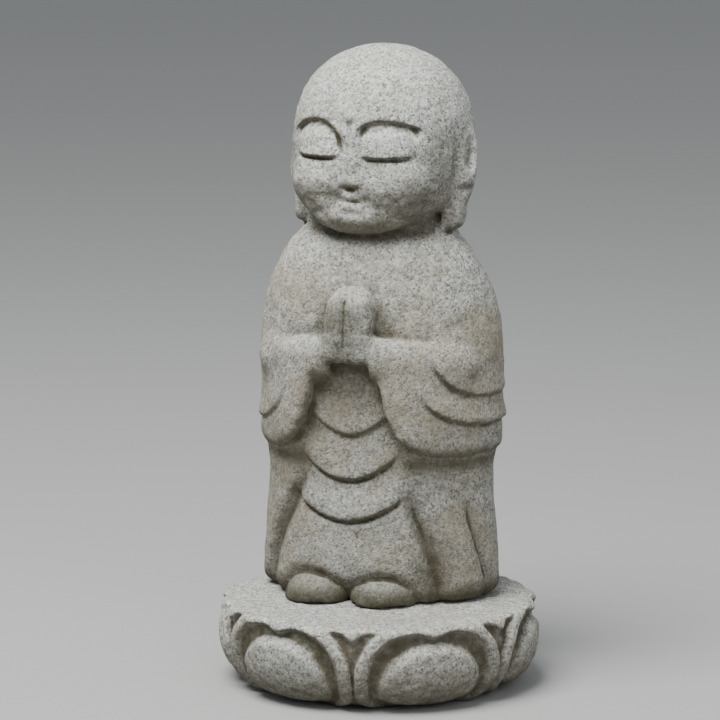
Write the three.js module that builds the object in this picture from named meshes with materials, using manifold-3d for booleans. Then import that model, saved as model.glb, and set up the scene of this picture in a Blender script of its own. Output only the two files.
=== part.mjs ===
// A small garden jizo of granite: a standing monk with joined hands, on a round lotus plinth.
// Millimetres, +Z up. The origin is the middle of the plinth's underside, and the figure faces -Y.
//
// The figure is shaped as a carver shapes a block. Its form is one field: a function that is negative
// inside the stone and positive outside, in millimetres. Closed three.js geometries are then pointed onto
// that field: each vertex is drawn in along its own ray until it meets the stone.

import * as THREE from "three";
import { mergeVertices } from "three/addons/utils/BufferGeometryUtils.js";
import Module from "manifold-3d";

const wasm = await Module();
wasm.setup();

// ---------------------------------------------------------------- driving dimensions

const PLINTH_HEIGHT = 60;
const PETALS = 6;
const PETAL_TURN = 10; // degrees: the plinth was set a little out of line with the figure
const FIGURE_SET_BACK = 24; // the figure's axis, behind the plinth's
const FIGURE_SET_ASIDE = 7; // and towards the figure's right

// The figure's own sizes: half-widths run sideways, half-depths front to back, levels up from its hem.
const ROBE_LEVELS = [0, 30, 62, 95, 135, 200];
const ROBE_HALF_WIDTHS = [87.5, 86, 83.5, 81, 80, 74];
const ROBE_HALF_DEPTHS = [60, 58, 56, 54, 55, 50];
const HEM_ROUNDING = 6;
const ROBE_TOP = { level: 200, rounding: 20 };
const TORSO = { centre: [0, -2, 168], radii: [88, 57, 111], squareness: 2.2 };
const TORSO_LEAN = { most: 7, from: 180, to: 260 }; // the shoulders stand forward of the hem
const NECK = { centre: [0, -8, 262], radii: [38, 38, 40] };
const WAIST_BLEND = 14;
const NAPE_BLEND = 24;
const SKULL = { centre: [2, 0, 324], radii: [63, 62, 64], squareness: 2.15 };
const JOWLS = { centre: [0, 4, 299], radii: [57, 54, 38], squareness: 2.3 }; // full cheeks and jaw
const FOREARM = { elbow: [62, 24, 164], wrist: [18, 56, 176], radius: 16 };
const SLEEVE = { side: 88, top: 186, width: 67, drop: 81, squareness: 3.2 };
const SLEEVE_CLOTH = { atCuff: 19, atSide: 7, thinsFrom: 35, thinsTo: 85, endsFrom: 98, endsTo: 148 };
const SLEEVE_INNER_SIDE = 15; // the cuffs end here, beside the hands
const SLEEVE_BLENDS = { arm: 10, cuff: 4 };
const HANDS = { halfWidth: 18.5, taper: 3, top: 225, bottom: 174, front: 76, lean: 5, back: 30 };
const HANDS_ROUNDING = 9;
const PALM_GROOVE = { depth: 3, halfWidth: 2.5, from: 50, to: 64 };
const FOOT = { centre: [24.5, 47, 3], radii: [24.5, 27, 19.5] };
const FEET_ASIDE = -6; // the pair of feet, off the figure's middle

// ---------------------------------------------------------------- small mathematics

const clamp01 = (t) => Math.min(1, Math.max(0, t));

function smoothStep(low, high, value) {
  const t = clamp01((value - low) / (high - low));
  return t * t * (3 - 2 * t);
}

// The value at `level` of a profile that runs straight from each given value to the next.
function profile(levels, values, level) {
  const last = levels.length - 1;
  if (level <= levels[0]) return values[0];
  if (level >= levels[last]) return values[last];
  let i = 0;
  while (level > levels[i + 1]) i += 1;
  const t = (level - levels[i]) / (levels[i + 1] - levels[i]);
  return THREE.MathUtils.lerp(values[i], values[i + 1], t);
}

// Two stones joined, or one cut by another, with a soft inner corner about `soft` across.
function joined(a, b, soft) {
  const overlap = Math.max(soft - Math.abs(a - b), 0) / soft;
  return Math.min(a, b) - (overlap * overlap * soft) / 4;
}
const common = (a, b, soft) => -joined(-a, -b, soft);

function ellipsoid(p, centre, radii) {
  const q = p.map((v, i) => (v - centre[i]) / radii[i]);
  const near = Math.hypot(...q);
  const slope = Math.hypot(...q.map((v, i) => v / radii[i]));
  return slope > 0 ? (near * (near - 1)) / slope : -Math.min(...radii);
}

// An ellipsoid with squarer shoulders, as the torso and the skull have.
function squaredEllipsoid(p, { centre, radii, squareness }) {
  const q = p.map((v, i) => Math.abs(v - centre[i]) / radii[i]);
  const sum = q.reduce((total, v) => total + v ** squareness, 0);
  return (sum ** (1 / squareness) - 1) * Math.min(...radii);
}

function capsule(p, start, end, radius) {
  const along = end.map((v, i) => v - start[i]);
  const from = p.map((v, i) => v - start[i]);
  const dot = (u, v) => u.reduce((total, value, i) => total + value * v[i], 0);
  const t = clamp01(dot(from, along) / dot(along, along));
  return Math.hypot(...from.map((v, i) => v - along[i] * t)) - radius;
}

// ---------------------------------------------------------------- drapery

// The two hollows that part the front of the robe from its side drape, low down.
const SIDE_HOLLOW = { depth: 3, halfWidth: 8, side: 42, spread: 14, from: 110, to: 80, low: 25 };

function sideHollows(side, level) {
  const { depth, halfWidth, side: inner, spread, from, to, low } = SIDE_HOLLOW;
  const run = inner + spread * smoothStep(to, low, level);
  const off = (Math.abs(side) - run) / halfWidth;
  return depth * Math.exp(-off * off) * smoothStep(from, to, level);
}

// A sleeve's outline is a nest of arcs about its outer top corner: 1 is its hem, and less is inside it.
function sleeveArc(wrap, level) {
  const { side, top, width, drop, squareness } = SLEEVE;
  const across = Math.max(0, (side - wrap) / width);
  const down = Math.max(0, (top - level) / drop);
  return (across ** squareness + down ** squareness) ** (1 / squareness);
}

// The folds that hang from the elbow: the cloth swells towards each arc and steps back in beyond it.
const SLEEVE_FOLDS = { arcs: [0.52, 0.75], depth: 2.5, swell: 0.2, step: 0.1, from: 44, to: 60 };

function sleeveFolds(arc, wrap) {
  const { arcs, depth, swell, step, from, to } = SLEEVE_FOLDS;
  return arcs.reduce((proud, edge) => {
    const band = smoothStep(edge - swell, edge, arc) * smoothStep(edge + step, edge, arc);
    return proud + depth * band * smoothStep(from, to, wrap);
  }, 0);
}

// ---------------------------------------------------------------- the figure's field
// Points are [side, front, level]: to the figure's left, forwards, and up from its underside.

const FACING = 30; // past this far forward, the surface belongs wholly to the front

function robe([side, front, level]) {
  const rounding = HEM_ROUNDING - THREE.MathUtils.clamp(level, 0, HEM_ROUNDING);
  const inset = HEM_ROUNDING - Math.sqrt(HEM_ROUNDING ** 2 - rounding ** 2);
  const width = profile(ROBE_LEVELS, ROBE_HALF_WIDTHS, level) - inset;
  const depth = profile(ROBE_LEVELS, ROBE_HALF_DEPTHS, level) - inset;
  const column = ellipsoid([side, front], [0, 0], [width, depth]);
  return column + smoothStep(0, FACING, front) * sideHollows(side, level);
}

function body(p) {
  const [side, front, level] = p;
  const cloth = common(robe(p), level - ROBE_TOP.level, ROBE_TOP.rounding);
  const lean = TORSO_LEAN.most * smoothStep(TORSO_LEAN.from, TORSO_LEAN.to, level);
  const trunk = joined(cloth, squaredEllipsoid([side, front - lean, level], TORSO), WAIST_BLEND);
  return joined(trunk, ellipsoid(p, NECK.centre, NECK.radii), NAPE_BLEND);
}

// A sleeve is a layer over the robe, thick at the cuff and thin round the back, with a forearm inside it.
// Only the figure's left one is shaped; the other is its mirror image.
function sleeve(p) {
  const [side, front, level] = p;
  const { atCuff, atSide, thinsFrom, thinsTo, endsFrom, endsTo } = SLEEVE_CLOTH;
  const wrap = front > 0 ? side : 2 * SLEEVE.side - side;
  const arc = sleeveArc(wrap, level);
  const thickness = THREE.MathUtils.lerp(atCuff, atSide, smoothStep(thinsFrom, thinsTo, wrap));
  const left = smoothStep(endsTo, endsFrom, wrap);
  const cloth = robe(p) - thickness * left - sleeveFolds(arc, wrap);
  const topped = common(cloth, level - SLEEVE.top, FOREARM.radius);
  const hanging = common(topped, (arc - 1) * SLEEVE.width, HEM_ROUNDING);
  const arm = capsule(p, FOREARM.elbow, FOREARM.wrist, FOREARM.radius);
  return common(joined(hanging, arm, SLEEVE_BLENDS.arm), SLEEVE_INNER_SIDE - side, SLEEVE_BLENDS.cuff);
}

function hands([side, front, level]) {
  const rise = clamp01((level - HANDS.bottom) / (HANDS.top - HANDS.bottom));
  const flanks = Math.abs(side) - HANDS.halfWidth + HANDS.taper * rise;
  const faces = Math.max(front - HANDS.front + HANDS.lean * rise, HANDS.back - front);
  const ends = Math.max(level - HANDS.top, HANDS.bottom - level);
  const block = common(common(flanks, faces, HANDS_ROUNDING), ends, HANDS_ROUNDING);
  const off = side / PALM_GROOVE.halfWidth;
  const open = smoothStep(PALM_GROOVE.from, PALM_GROOVE.to, front);
  return block + PALM_GROOVE.depth * Math.exp(-off * off) * open;
}

const foot = (p) => ellipsoid(p, FOOT.centre, FOOT.radii);

// ---------------------------------------------------------------- the head's field

// These are given from the middle of the face: sideways, forwards from the ears, and up from the hem.
const FACE_ASIDE = -1.5; // the face looks a touch to the figure's right
const BROW = { level: 340, middle: 24, halfWidth: 19, drop: 8, depth: 3.5 };
const LID = { centre: [24, 46, 322], radii: [18, 12, 10] };
const NOSE = { root: [0, 56, 328], tip: [0, 59, 301], radius: 6 };
const LIPS = { centre: [0, 50, 285], radii: [9, 8, 6] };
const URNA = { centre: [0, 58, 341], radii: [4, 5, 4] };
const HEAD_BLENDS = { jowls: 10, lid: 3, nose: 5, lips: 4, urna: 2 };

// The forehead stands proud above an arched brow line over each eye.
function browStep([side, front, level]) {
  const along = (Math.abs(side) - BROW.middle) / BROW.halfWidth;
  const below = BROW.level - BROW.drop * along * along - level;
  const within = smoothStep(1.3, 0.8, Math.abs(along));
  const hollow = smoothStep(-3, 5, below) * smoothStep(36, 12, below);
  return BROW.depth * hollow * within * smoothStep(FACING - 10, FACING + 10, front);
}

function head(p) {
  const faced = [p[0] - FACE_ASIDE, p[1], p[2]];
  const eitherEye = [Math.abs(faced[0]), p[1], p[2]];
  const ball = joined(squaredEllipsoid(p, SKULL), squaredEllipsoid(p, JOWLS), HEAD_BLENDS.jowls);
  const skull = ball + browStep(faced);
  const lidded = joined(skull, ellipsoid(eitherEye, LID.centre, LID.radii), HEAD_BLENDS.lid);
  const nose = capsule(faced, NOSE.root, NOSE.tip, NOSE.radius);
  const nosed = joined(lidded, nose, HEAD_BLENDS.nose);
  const mouthed = joined(nosed, ellipsoid(faced, LIPS.centre, LIPS.radii), HEAD_BLENDS.lips);
  return joined(mouthed, ellipsoid(faced, URNA.centre, URNA.radii), HEAD_BLENDS.urna);
}

// A long ear, leaning back at the top, with a square lobe that hangs clear of the jaw. It is placed from
// the middle of the head, as the face is.
const EAR = { centre: [58.5, 0, 307], radii: [9.5, 15, 27] };
const EAR_BOWL = { centre: [68, 4, 315], radii: [7, 7, 14] };
const LOBE = { centre: [53, 7, 274], radii: [8.5, 9.5, 13] };
const EAR_LEAN = 0.2; // how far the ear's top lies back, for each millimetre up
const EAR_BLENDS = { bowl: 4, lobe: 8 };

function ear(p) {
  const [side, front, level] = p;
  const lean = [side, front + (level - EAR.centre[2]) * EAR_LEAN, level];
  const shell = ellipsoid(lean, EAR.centre, EAR.radii);
  const bowl = ellipsoid(lean, EAR_BOWL.centre, EAR_BOWL.radii);
  const hollowed = common(shell, -bowl, EAR_BLENDS.bowl);
  return joined(hollowed, ellipsoid(p, LOBE.centre, LOBE.radii), EAR_BLENDS.lobe);
}

// ---------------------------------------------------------------- pointing a geometry onto a field

const CLOSEST = 0.01;
const MARCH_SHARE = 0.6; // fields overstate distance where they are stretched, so a step stays short

// The farthest point of the stone along a ray, found from outside.
function meet(field, origin, direction, reach) {
  const at = (t) => origin.map((v, i) => v + direction[i] * t);
  let t = reach;
  let clear = field(at(t));
  while (clear > CLOSEST && t > 0) {
    t -= Math.max(clear * MARCH_SHARE, CLOSEST);
    clear = field(at(t));
  }
  return at(Math.max(t, 0));
}

// Moves every vertex of a closed geometry to where `place` puts it, and joins the seams.
function pointed(geometry, place) {
  const position = geometry.getAttribute("position");
  const v = new THREE.Vector3();
  for (let i = 0; i < position.count; i += 1) {
    const [side, front, level] = place(v.fromBufferAttribute(position, i));
    position.setXYZ(i, side, -front, level);
  }
  geometry.deleteAttribute("normal");
  geometry.deleteAttribute("uv");
  return mergeVertices(geometry, 1e-3);
}

// A sphere of rays out of `centre`. `gather` crowds its columns towards the front, and `crowd` its rows
// towards the centre's level. `pole` turns the ball, so that its rings run round the form's outline.
function pointedBall(field, { centre, columns, rows, reach, gather = 0, crowd = 0, pole = [0, 0, 1] }) {
  const ball = new THREE.SphereGeometry(1, columns, rows);
  const turnBall = new THREE.Quaternion().setFromUnitVectors(
    new THREE.Vector3(0, 0, 1),
    new THREE.Vector3(...pole).normalize(),
  );
  return pointed(ball, ({ x, y, z }) => {
    const around = Math.atan2(x, z);
    const turned = around - gather * Math.sin(around);
    const rise = Math.asin(THREE.MathUtils.clamp(y, -1, 1));
    const pitched = rise - (crowd * Math.sin(2 * rise)) / 2;
    const flat = Math.cos(pitched);
    const ray = new THREE.Vector3(flat * Math.sin(turned), flat * Math.cos(turned), Math.sin(pitched));
    return meet(field, centre, ray.applyQuaternion(turnBall).toArray(), reach);
  });
}

// A column of level rays out of the axis, closed by a flat underside and a flat top.
function pointedColumn(field, { height, columns, rows, reach, gather }) {
  const column = new THREE.CylinderGeometry(1, 1, height, columns, rows);
  return pointed(column, ({ x, y, z }) => {
    const level = y + height / 2;
    if (Math.hypot(x, z) < 0.5) return [0, 0, level];
    const around = Math.atan2(x, z);
    const turned = around - gather * Math.sin(around);
    return meet(field, [0, 0, level], [Math.sin(turned), Math.cos(turned), 0], reach);
  });
}

// A pillow laid on a surface as a nest of rings, each ring a smaller copy of its outline. A three.js
// sphere gives the mesh: its pole faces out, and its last vertex is the pillow's buried back.
// `place` takes a ring, or nothing for the back, and the direction from the pillow's middle.
function pillow(rings, columns, place) {
  const ball = new THREE.SphereGeometry(1, columns, rings.length);
  return pointed(ball, ({ x, y, z }) => {
    const polar = Math.acos(THREE.MathUtils.clamp(y, -1, 1)) / Math.PI;
    const turn = Math.atan2(z, -x);
    return place(rings[Math.round(polar * rings.length)], Math.cos(turn), Math.sin(turn));
  });
}

// ---------------------------------------------------------------- solids

function solidOf(geometry) {
  const merged = mergeVertices(geometry, 1e-3);
  return new wasm.Manifold(
    new wasm.Mesh({
      numProp: 3,
      vertProperties: new Float32Array(merged.getAttribute("position").array),
      triVerts: new Uint32Array(merged.index.array),
    }),
  );
}

function geometryOf(solid) {
  const mesh = solid.getMesh();
  const geometry = new THREE.BufferGeometry();
  geometry.setAttribute("position", new THREE.BufferAttribute(mesh.vertProperties, 3));
  geometry.setIndex(new THREE.BufferAttribute(mesh.triVerts, 1));
  geometry.computeVertexNormals();
  return geometry;
}

const mirrorSide = new THREE.Matrix4().makeScale(-1, 1, 1);

// The same geometry on the figure's other side, with its faces turned to point out again.
function mirrored(geometry) {
  const other = geometry.clone().applyMatrix4(mirrorSide);
  const index = other.index.array;
  for (let i = 0; i < index.length; i += 3) {
    [index[i + 1], index[i + 2]] = [index[i + 2], index[i + 1]];
  }
  return other;
}

// The pair of a left-hand form and its mirror image, moved aside together.
function eitherSide(left, distance) {
  return [left, mirrored(left)].map((geometry) => geometry.translate(distance, 0, 0));
}

// ---------------------------------------------------------------- the robe's hanging folds

// Each is a pillow of cloth with a sagging U for its lower edge.
const FRONT_FOLDS = [
  { level: 119, rise: 15, halfWidth: 27 },
  { level: 87, rise: 18, halfWidth: 40 },
  { level: 57, rise: 16, halfWidth: 45 },
];
const FOLD_RINGS = [
  { reach: 0, proud: 2.5 },
  { reach: 0.5, proud: 3 },
  { reach: 0.9, proud: 3.5 },
  { reach: 1, proud: 1.5 },
  { reach: 1, proud: -8 },
];
const FOLD_MIDDLE = 10; // the middle of a pillow, above its lower edge
const FOLD_RISE = 26; // its upper half, which sinks back into the robe
const FOLD_SINK = 6;
const FOLD_BURIED = -20;
const FOLD_COLUMNS = 16;
const FRONT_REACH = 90; // farther forward than any part of the robe

function foldGeometry({ level, rise, halfWidth }) {
  return pillow(FOLD_RINGS, FOLD_COLUMNS, (ring, across, up) => {
    const reach = ring ? ring.reach : 0;
    const side = halfWidth * reach * across;
    const sag = level + rise * (reach * across) ** 2;
    const height = sag + FOLD_MIDDLE + reach * up * (up > 0 ? FOLD_RISE : FOLD_MIDDLE);
    const sinking = FOLD_SINK * smoothStep(0.3, 1, up * reach);
    const [, front] = meet(robe, [side, 0, height], [0, 1, 0], FRONT_REACH);
    return [side, front + (ring ? ring.proud : FOLD_BURIED) - sinking, height];
  });
}

// ---------------------------------------------------------------- the figure

// How each form is pointed: where its rays start, how many there are, and how far out they begin.
const BODY_RAYS = { height: 285, columns: 38, rows: 24, reach: 140, gather: 0.3 };
const HEAD_RAYS = { centre: SKULL.centre, columns: 38, rows: 24, reach: 90, gather: 0.4, crowd: 0.35 };
const HANDS_RAYS = { centre: [0, 54, 200], columns: 18, rows: 10, reach: 60 };
const SLEEVE_RAYS = { centre: [58, 18, 150], columns: 24, rows: 18, reach: 130, pole: [0.6, 0.8, -0.1] };
const FOOT_RAYS = { centre: FOOT.centre, columns: 12, rows: 8, reach: 40 };
const EAR_RAYS = { centre: [57, -1, 300], columns: 10, rows: 12, reach: 60 };

function figureGeometry() {
  const forms = [
    pointedColumn(body, BODY_RAYS),
    ...FRONT_FOLDS.map(foldGeometry),
    pointedBall(head, HEAD_RAYS),
    pointedBall(hands, HANDS_RAYS),
    ...eitherSide(pointedBall(sleeve, SLEEVE_RAYS), 0),
    ...eitherSide(pointedBall(foot, FOOT_RAYS), FEET_ASIDE),
    ...eitherSide(pointedBall(ear, EAR_RAYS), SKULL.centre[0]),
  ];
  const stone = forms.map(solidOf).reduce((sum, form) => sum.add(form));
  return geometryOf(stone.trimByPlane([0, 0, 1], 0));
}

// ---------------------------------------------------------------- lotus plinth

const SPANDREL_DEPTH = 5; // how far the bowl is let in between the petals
const SPANDREL_RIB = 2.5;
const PARTING_NOTCH = 3.5;
const RELIEF_START = 88; // everything nearer the middle than this is left plain

// The bowl's outline, out and up from its underside, as [radius, level], and the rounded lip above it.
const bowl = new THREE.CubicBezierCurve(
  new THREE.Vector2(RELIEF_START, 0),
  new THREE.Vector2(104, 3),
  new THREE.Vector2(118, 24),
  new THREE.Vector2(112.5, 53),
);
const LIP = [
  [112, 56.5],
  [110.5, 59],
  [108, PLINTH_HEIGHT],
];
const bowlPoints = bowl.getPoints(40);

function bowlRadius(level) {
  const above = bowlPoints.findIndex((point) => point.y >= level);
  if (above < 0) return bowlPoints.at(-1).x;
  if (above === 0) return bowlPoints[0].x;
  const [low, high] = [bowlPoints[above - 1], bowlPoints[above]];
  return THREE.MathUtils.mapLinear(level, low.y, high.y, low.x, high.x);
}

const PETAL_HALF = Math.PI / PETALS;
const BOWL_LEVELS = [6, 20, 36, 50, 53];
const BOWL_COLUMNS = 8 * PETALS;

// The body of the plinth: its bowl, let in all round below its lip, with a rib up each parting.
function plinthBody() {
  const outline = [
    [0, 0],
    [RELIEF_START, 0],
    ...BOWL_LEVELS.map((level) => [bowlRadius(level), level]),
    ...LIP,
    [0, PLINTH_HEIGHT],
  ].map(([radius, level]) => new THREE.Vector2(radius, level));
  return pointed(new THREE.LatheGeometry(outline, BOWL_COLUMNS), ({ x, y, z }) => {
    const radius = Math.hypot(x, z);
    const around = Math.atan2(x, z);
    const cycle = THREE.MathUtils.euclideanModulo(around / PETAL_HALF + 1, 2);
    const across = Math.abs(cycle - 1); // 0 in a petal's middle, and 1 at the parting between petals
    const rib = SPANDREL_RIB * smoothStep(0.9, 1, across);
    const letIn = (SPANDREL_DEPTH - rib) * smoothStep(LIP[0][1], LIP[0][1] - 3, y);
    const outer = radius > RELIEF_START ? 1 : 0;
    const carved = radius - outer * (letIn + PARTING_NOTCH * across ** 6);
    return [carved * Math.sin(around), carved * Math.cos(around), y];
  });
}

// A petal lies on the bowl as a nest of arches, from the middle of its cushion (0) to its edge (1).
const PETAL_RINGS = [
  { arch: 0, proud: 0.5 },
  { arch: 0.45, proud: 0 },
  { arch: 0.64, proud: -1 },
  { arch: 0.74, proud: -3.5 },
  { arch: 0.84, proud: -3.5 },
  { arch: 0.91, proud: 0 },
  { arch: 1, proud: 0 },
  { arch: 1, proud: -7 },
];
const PETAL_COLUMNS = 18;
const PETAL_WIDEST = 14; // the level at which a petal is widest
const PETAL_TIP = 57.5;
const PETAL_ROOT = 1;
const PETAL_REACH = THREE.MathUtils.degToRad(29);
const PETAL_SQUARENESS = 0.85; // below 1, an arch has fuller shoulders than an ellipse
const PETAL_BURIED = -20; // its back, inside the bowl

function petalGeometry() {
  const full = (v) => Math.sign(v) * Math.abs(v) ** PETAL_SQUARENESS;
  return pillow(PETAL_RINGS, PETAL_COLUMNS, (ring, across, up) => {
    const arch = ring ? ring.arch : 0;
    const rise = up > 0 ? PETAL_TIP - PETAL_WIDEST : PETAL_WIDEST - PETAL_ROOT;
    const around = PETAL_REACH * arch * full(across);
    const level = PETAL_WIDEST + rise * arch * full(up);
    const radius = bowlRadius(level) + (ring ? ring.proud : PETAL_BURIED);
    return [radius * Math.sin(around), radius * Math.cos(around), level];
  });
}

function plinthGeometry() {
  const petal = petalGeometry();
  const petals = Array.from({ length: PETALS }, (_, i) => petal.clone().rotateZ(2 * i * PETAL_HALF));
  return geometryOf([plinthBody(), ...petals].map(solidOf).reduce((sum, form) => sum.add(form)));
}

// ---------------------------------------------------------------- the assembled statue

const granite = new THREE.MeshStandardMaterial({ color: 0xa9a49b, roughness: 0.9, metalness: 0 });
const paleGranite = new THREE.MeshStandardMaterial({ color: 0xb2aea6, roughness: 0.9, metalness: 0 });

const statue = new THREE.Group();

const plinth = new THREE.Mesh(plinthGeometry(), paleGranite);
plinth.name = "lotus_plinth";
const plinthPlace = new THREE.Group();
plinthPlace.rotation.z = PETAL_HALF + THREE.MathUtils.degToRad(PETAL_TURN);
plinthPlace.add(plinth);
statue.add(plinthPlace);

const figure = new THREE.Mesh(figureGeometry(), granite);
figure.name = "jizo_figure";
figure.position.set(-FIGURE_SET_ASIDE, FIGURE_SET_BACK, PLINTH_HEIGHT);
statue.add(figure);

export default statue;
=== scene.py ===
# %% [markdown]
# # A small granite jizo
# The statue is two stones: a standing monk with joined hands, and the round lotus plinth that the
# monk stands on. Both came out of a block with a point and a bush hammer, so hardly a face on them
# is flat and no corner is sharp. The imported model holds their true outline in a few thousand
# triangles. This lesson carves the same two stones again, finely enough to show the folds, the
# closed eyes and the hammered skin, and then gives them the colours of weathered granite.

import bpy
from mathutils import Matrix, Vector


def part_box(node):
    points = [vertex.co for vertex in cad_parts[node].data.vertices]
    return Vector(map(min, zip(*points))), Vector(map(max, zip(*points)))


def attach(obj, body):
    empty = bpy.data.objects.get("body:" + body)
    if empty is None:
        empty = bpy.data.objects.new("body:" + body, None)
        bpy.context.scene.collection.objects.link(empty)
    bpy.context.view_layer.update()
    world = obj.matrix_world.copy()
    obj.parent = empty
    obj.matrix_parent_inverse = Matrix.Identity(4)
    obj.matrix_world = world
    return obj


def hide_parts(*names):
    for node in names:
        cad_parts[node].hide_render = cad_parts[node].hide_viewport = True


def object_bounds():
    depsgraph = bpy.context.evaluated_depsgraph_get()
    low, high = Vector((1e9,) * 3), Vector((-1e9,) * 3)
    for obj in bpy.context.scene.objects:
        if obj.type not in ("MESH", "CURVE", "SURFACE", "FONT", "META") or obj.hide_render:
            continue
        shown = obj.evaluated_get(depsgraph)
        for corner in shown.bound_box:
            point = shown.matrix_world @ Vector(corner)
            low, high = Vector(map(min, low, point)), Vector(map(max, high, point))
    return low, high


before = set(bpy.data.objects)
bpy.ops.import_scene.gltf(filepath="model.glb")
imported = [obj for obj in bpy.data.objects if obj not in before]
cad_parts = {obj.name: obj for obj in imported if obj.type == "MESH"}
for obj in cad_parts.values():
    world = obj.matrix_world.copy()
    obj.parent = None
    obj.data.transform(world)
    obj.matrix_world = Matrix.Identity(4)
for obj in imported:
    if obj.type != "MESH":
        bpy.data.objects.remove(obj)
cad_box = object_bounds()
print("pieces to dress:", sorted(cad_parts))

# %% The tools used below
import math

import bpy
import numpy as np
import openvdb
from mathutils import Vector

MM = 0.001  # the stones are carved in millimetres, and Blender works in metres


def top_of(node):
    """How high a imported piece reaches, in millimetres."""
    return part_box(node)[1][2] / MM


PLINTH_TOP = top_of("lotus_plinth")
TALLEST = top_of("jizo_figure") - PLINTH_TOP
FIGURE_ASIDE, FIGURE_BACK = -7, 24  # where the figure's middle stands on the plinth
print(f"plinth {PLINTH_TOP:.0f} mm high, figure {TALLEST:.0f} mm tall")

# %% [markdown]
# ## Where the viewer stands
# A statue like this is looked at from a little above its chest and a few steps away, here from
# its own left. A long lens from almost three metres keeps its uprights straight. The camera could
# be given a place and three angles, but a direction and a distance are fewer numbers, and Blender
# works out the turn from them.

# %% The camera
VIEW_TURN = math.radians(20)
VIEW_RISE = math.radians(9.7)
VIEW_DISTANCE = 2.770
LENS = 196
LOOK_ASIDE = -0.015  # puts the statue a little off the middle of the view
SEES_TO = 20

level_right = Vector((math.cos(VIEW_TURN), math.sin(VIEW_TURN), 0))
statue_middle = Vector((FIGURE_ASIDE * MM, FIGURE_BACK * MM, cad_box[1][2] / 2))
look_at = statue_middle + level_right * LOOK_ASIDE
towards_viewer = Vector((
    math.sin(VIEW_TURN) * math.cos(VIEW_RISE),
    -math.cos(VIEW_TURN) * math.cos(VIEW_RISE),
    math.sin(VIEW_RISE),
))
camera = bpy.data.objects.new("camera", bpy.data.cameras.new("camera"))
camera.location = look_at + towards_viewer * VIEW_DISTANCE
camera.rotation_euler = towards_viewer.to_track_quat("Z", "Y").to_euler()
camera.data.lens = LENS
camera.data.clip_end = SEES_TO
bpy.context.scene.collection.objects.link(camera)
bpy.context.scene.camera = camera
print("camera stands at", [round(v, 3) for v in camera.location])

# %% [markdown]
# ## Studio floor and light
# Garden stone looks right under an overcast sky: a broad soft light from above, a little from the
# front, and hardly any from below. A large lamp overhead, a weak one from the side and a dim grey
# world do that. A sun lamp would be simpler, but its hard shadows would hide the shallow carving.
# The floor is a plain pale sheet with no wall behind it, so that the statue can be looked at from
# all round, and it is so wide that no edge of it shows.


# %% A material with a few plain values on its shader
def plain_material(name, colour, roughness):
    material = bpy.data.materials.new(name)
    material.use_nodes = True
    shader = material.node_tree.nodes["Principled BSDF"]
    shader.inputs["Base Color"].default_value = (*colour, 1)
    shader.inputs["Roughness"].default_value = roughness
    return material


# %% The floor
FLOOR_HALF = 9.0
FLOOR_DROP = 0.0005  # just under the plinth, so that the two don't share a surface

corners = [(-1, -1), (1, -1), (1, 1), (-1, 1)]
sheet = bpy.data.meshes.new("floor")
sheet.from_pydata([(x * FLOOR_HALF, y * FLOOR_HALF, -FLOOR_DROP) for x, y in corners], [], [(0, 1, 2, 3)])
floor = bpy.data.objects.new("floor", sheet)
floor.data.materials.append(plain_material("pale_floor", (0.50, 0.50, 0.49), 0.9))
bpy.context.scene.collection.objects.link(floor)
print("floor faces:", len(floor.data.polygons))


# %% The lights
LAMPS_AIM = (0, 0, 0.25)  # the statue's chest
SKY_COLOUR, SKY_STRENGTH = (0.80, 0.84, 0.88, 1), 0.42


def area_lamp(name, place, size, watts, colour):
    lamp = bpy.data.objects.new(name, bpy.data.lights.new(name, "AREA"))
    lamp.data.shape = "DISK"
    lamp.data.size = size
    lamp.data.energy = watts
    lamp.data.color = colour
    lamp.location = place
    lamp.rotation_euler = (Vector(place) - Vector(LAMPS_AIM)).to_track_quat("Z", "Y").to_euler()
    bpy.context.scene.collection.objects.link(lamp)


area_lamp("sky", (-0.35, -0.95, 2.25), size=1.6, watts=84, colour=(0.99, 1.0, 0.98))
area_lamp("side_fill", (1.7, -1.6, 1.3), size=1.6, watts=9, colour=(0.98, 0.99, 1.0))

world = bpy.data.worlds.new("grey_sky")
world.use_nodes = True
background = world.node_tree.nodes["Background"]
background.inputs["Color"].default_value = SKY_COLOUR
background.inputs["Strength"].default_value = SKY_STRENGTH
bpy.context.scene.world = world
print("lamps:", [lamp.name for lamp in bpy.data.lights])

# %% [markdown]
# ## Stone as a field
# A carver thinks of a form inside the block and takes away what is outside it. A field does the
# same in numbers: it is negative inside the stone, positive outside, and its value is about the
# distance to the surface in millimetres. Two fields are joined with the smaller value, and one
# cuts the other with the larger. Sculpting by hand or displacing a sphere would also give a
# statue, but with a field every fold and lid stays a named size, and the joins come out softly
# rounded, as worn granite is.


# %% Joining and cutting
def smooth_step(low, high, value):
    t = np.clip((value - low) / (high - low), 0, 1)
    return t * t * (3 - 2 * t)


def hill(value, middle, spread):
    """A soft hill: 1 where the value is at its middle, and almost 0 two spreads away from it."""
    offset = (value - middle) / spread
    return np.exp(-offset * offset)


def joined(a, b, soft):
    overlap = np.maximum(soft - np.abs(a - b), 0) / soft
    return np.minimum(a, b) - overlap * overlap * soft / 4


def common(a, b, soft):
    return -joined(-a, -b, soft)


# %% The round forms that a figure is blocked out with
TINY = 1e-6  # keeps a form's very middle from dividing by nothing


def from_oval(offsets, radii):
    """About the distance to an oval, in two directions or in three, from offsets off its middle."""
    scaled = [o / r for o, r in zip(offsets, radii)]
    near = np.sqrt(sum(q * q for q in scaled))
    slope = np.sqrt(sum((q / r) ** 2 for q, r in zip(scaled, radii)))
    return near * (near - 1) / np.maximum(slope, TINY)


def ellipsoid(point, centre, radii):
    return from_oval([p - c for p, c in zip(point, centre)], radii)


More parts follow.
